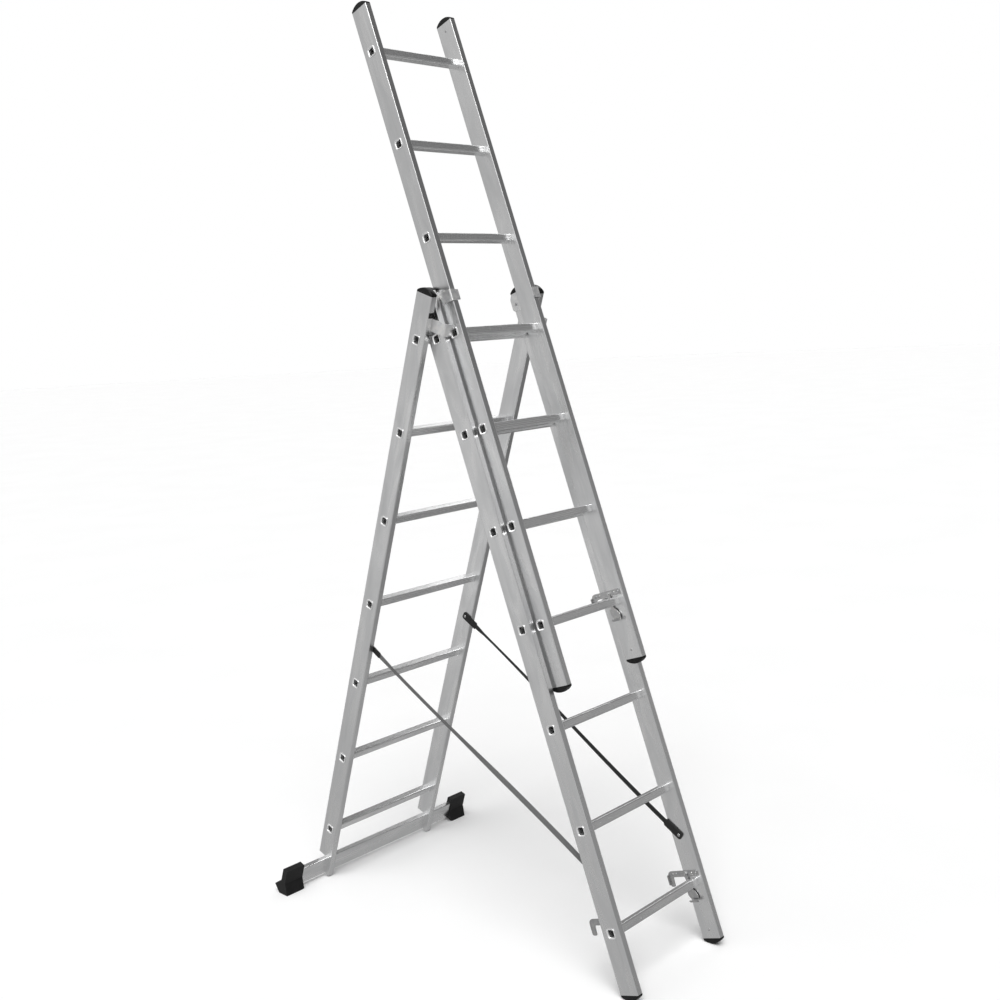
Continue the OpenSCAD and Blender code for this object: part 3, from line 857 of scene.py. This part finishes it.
def add_stitches(mesh, start, end, along, across, out):
    """Two rows of thread across each sewn end, on both faces."""
    thread = [(height * MM, radius * MM) for height, radius in STITCH]
    lie = across.to_track_quat("Z", "Y").to_matrix().to_4x4()
    for anchor, sign in ((start, 1), (end, -1)):
        for row in STITCH_ROWS:
            for k in range(-3, 4):
                for face in (-1, 1):
                    middle = anchor + along * (sign * row * MM) + across * (k * STITCH_PITCH * MM)
                    middle += out * (face * (SEWN_T / 2 - STITCH_DEPTH) * MM)
                    add_turned(mesh, thread, Matrix.Translation(middle) @ lie, points=8)


def strap_stations(run):
    """Distances along a strap from its first rivet, with the rounded ends past both rivets."""
    tip = [step - SLEEVE_PAST for step in SLEEVE_END]
    stations = list(tip)
    t = 0.0
    while t < run:
        stations.append(t)
        t += STRAP_STEP
    return stations + [run - t for t in reversed(tip)]


def strap_outline(side, t, run, raised):
    """Points (across, out) of a strap's section at a distance along it, in the sewn ends or in
    the bare webbing, whose ribs are raised at every other station."""
    near_end = min(t, run - t)
    sewn = 1 - smooth(near_end, SLEEVE_LEN - SLEEVE_TAPER, SLEEVE_LEN)
    corner = max(0.0, 1 - (near_end + SLEEVE_PAST) / SLEEVE_ROUND)
    width = STRAP_W + (SLEEVE_W[side] - STRAP_W) * sewn - SLEEVE_CUT * corner * corner
    rib = RIB if raised else -RIB
    thick = STRAP_T + (SEWN_T - STRAP_T) * sewn + rib * (1 - sewn)
    return webbing_section(width, thick)


def build_strap(side):
    """Webbing from the middle stile to the rear stile, twisted a little, with sewn ends."""
    sign = SIDES[side]
    start, end = (
        FRAMES[section] @ Vector((sign * (INNER[section] - STRAP_STANDOFF), *rivet))
        for section, rivet in (("middle", STRAP_LOW), ("rear", STRAP_HIGH)))
    level = Vector((0, end.y - start.y, end.z - start.z))
    run = level.length / MM
    along = level.normalized()
    out = Vector((1, 0, 0))
    across = along.cross(out)
    stations = strap_stations(run)
    rings, places = [], []
    for i, t in enumerate(stations):
        share = t / run
        x = start.x + (end.x - start.x) * smooth(share, *CROSSING)
        middle = Vector((x, start.y, start.z)) + along * (t * MM)
        turned = Matrix.Rotation(math.radians(twist_at(side, share)), 3, along)
        outline = strap_outline(side, t, run, i % 2)
        rings.append([middle + turned @ (across * (a * MM) + out * (b * MM)) for a, b in outline])
        places.append([(t * MM, a * MM) for a, b in outline])
    mesh = bmesh.new()
    weave = mesh.loops.layers.uv.new("weave")
    rows = loft(mesh, rings)
    where = {vertex: place for row, spots in zip(rows, places)
             for vertex, place in zip(row, spots)}
    for face in mesh.faces:
        for corner in face.loops:
            corner[weave].uv = where[corner.vert]
    add_stitches(mesh, start, end, along, across, out)
    # Each strap's webbing takes its side's tones, painted lighter on the left and darker on the
    # right as painted light and shade
    webbing = woven_webbing(f"woven_webbing_{side}", *LIT_AND_SHADED_WEBBING_TONES[side], run * MM,
                            SLEEVE_LEN * MM)
    piece = make_piece(f"strap_{side}_woven", mesh, None, webbing, [f"strap_{side}"],
                       smooth_to=50)
    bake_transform(piece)


# ---------------------------------------------------------------- rubber feet and pads

FOOT_ROUNDING = 1.6
PAD_ROUNDING = 0.8
ROUNDING_STEPS = 3
FLAT_WITHIN = 1.0


def build_soft_edged(node, body, material, bevel):
    """A piece with a CAD node's own shape and rounded edges: its triangles become whole faces."""
    mesh = bmesh.new()
    mesh.from_mesh(frame["nodes"][node].data)
    bmesh.ops.remove_doubles(mesh, verts=mesh.verts, dist=1e-5)
    bmesh.ops.dissolve_limit(mesh, angle_limit=math.radians(FLAT_WITHIN), verts=mesh.verts,
                             edges=mesh.edges)
    piece = make_piece(f"{node}_moulded", mesh, body, material, [node], bevel=bevel)
    piece.modifiers["rounding"].segments = ROUNDING_STEPS


# ---------------------------------------------------------------- stage

FLOOR_RADIUS = 40


def build_stage():
    """A round pale floor, which the metal does not mirror."""
    mesh = bmesh.new()
    bmesh.ops.create_circle(mesh, cap_ends=True, segments=96, radius=FLOOR_RADIUS)
    data = bpy.data.meshes.new("floor")
    mesh.to_mesh(data)
    mesh.free()
    data.materials.append(floor_paint("floor_paint"))
    floor = bpy.data.objects.new("floor", data)
    bpy.context.scene.collection.objects.link(floor)
    floor.visible_glossy = False


# Brightness of the studio's walls from the ladder's right (0) to its left (1)
WALLS = ((0.0, 0.80), (0.05, 0.66), (0.10, 0.30), (0.40, 0.36), (0.66, 0.62), (0.80, 0.60),
         (0.84, 0.90), (0.86, 0.95), (0.885, 0.72), (1.0, 0.62))
# What that is multiplied by, from straight down (0) to straight up (1)
LEVELS = ((0.30, 0.58), (0.35, 0.66), (0.41, 0.84), (0.45, 0.80), (0.50, 0.66), (0.60, 0.58),
          (0.68, 0.40))
GROUND = 0.44
GROUND_UPTO = ("Z", -0.26, -0.46)
# Soft-edged areas: their brightness, then each edge as (axis, where it is nought, where full)
LOW_RIGHT_SHADE = (0.30, ("X", 0.30, 0.50), ("Z", -0.72, -0.56))
OVERHEAD = (0.6, ("Z", 0.74, 0.92), ("left", 0.25, 0.42))
HIGH_LEFT = (0.5, ("left", 0.60, 0.80), ("Z", 0.20, 0.34))
LOW_FRONT_RIGHT = (0.08, ("X", 0.20, 0.50), ("Y", -0.10, -0.40), ("Z", 0.40, 0.30),
                   ("Z", -0.15, 0.0))
HIGH_BACK_RIGHT = (1.8, ("X", 0.635, 0.69), ("Y", 0.10, 0.20), ("Z", 0.40, 0.50))
WHITE = (1, 1, 1, 1)


def build_world():
    """A plain studio, lit unevenly: pale to the left of the ladder and overhead, dimmer to its
    right and low down. The camera itself sees it white."""
    world = bpy.data.worlds.new("studio")
    world.use_nodes = True
    tree = world.node_tree
    place = add_node(tree, "TexCoord").outputs["Generated"]
    axes = dict(add_node(tree, "SeparateXYZ", {"Vector": place}).outputs.items())
    axes["left"] = spread(tree, axes["X"], 1.0, 0.0, -1.0, 1.0)

    def edge(axis, nought, full):
        return spread(tree, axes[axis], 0.0, 1.0, nought, full)

    def area(brightness, *edges):
        made = brightness
        for each in edges:
            made = math_node(tree, "MULTIPLY", made, edge(*each))
        return made

    walls = ramp(tree, axes["left"], [(at, grey(tone)) for at, tone in WALLS])
    height = spread(tree, axes["Z"], 0.0, 1.0, -1.0, 1.0)
    levels = ramp(tree, height, [(at, grey(tone)) for at, tone in LEVELS])
    ground = math_node(tree, "SUBTRACT", GROUND, area(*LOW_RIGHT_SHADE))
    studio = mix(tree, edge(*GROUND_UPTO), mix(tree, 1, walls, levels, "MULTIPLY"), ground)
    panels = math_node(tree, "MAXIMUM", area(*OVERHEAD), area(*HIGH_LEFT))
    panels = math_node(tree, "ADD", panels, area(*LOW_FRONT_RIGHT))
    panels = math_node(tree, "ADD", panels, area(*HIGH_BACK_RIGHT))
    studio = mix(tree, 1, studio, panels, "ADD")
    seen = add_node(tree, "LightPath").outputs["Is Camera Ray"]
    tree.links.new(mix(tree, seen, studio, WHITE), tree.nodes["Background"].inputs["Color"])
    bpy.context.scene.world = world


KEY_SIDE = (-0.45, -0.40, 1.0)
KEY_STRENGTH = 2.0
KEY_SOFTNESS = 40

add_camera()
build_stage()
build_world()
add_sun("key_lamp", KEY_SIDE, KEY_STRENGTH, KEY_SOFTNESS)
bpy.context.scene.view_settings.view_transform = "Standard"

for section in SECTIONS:
    for number in RUNG_NUMBERS:
        build_rung(section, number)
    for side in SIDES:
        paint(f"{section}_stile_{side}", ALUMINIUM[section])
paint("stabiliser_bar", BAR_ALUMINIUM)
build_all_caps()
for side in SIDES:
    build_brackets(side)
    for section in ("middle", "upper"):
        build_hook(section, side)
        build_latch(section, side)
    build_strap(side)
    build_soft_edged(f"rubber_foot_{side}", "rear_section", RUBBER, FOOT_ROUNDING)
build_rivets("rear", WRAP_RIVETS, STRAP_HIGH, foot_rivet=False)
build_rivets("middle", LOOP_RIVETS + HOOK_RIVETS, STRAP_LOW, head_rivet=False)
build_rivets("upper", HOOK_RIVETS)
build_soft_edged("edge_pads", "rear_section", PLASTIC, PAD_ROUNDING)
for node in ("hinge_pin_left", "hinge_pin_right", "bar_bolts"):
    paint(node, ZINC)
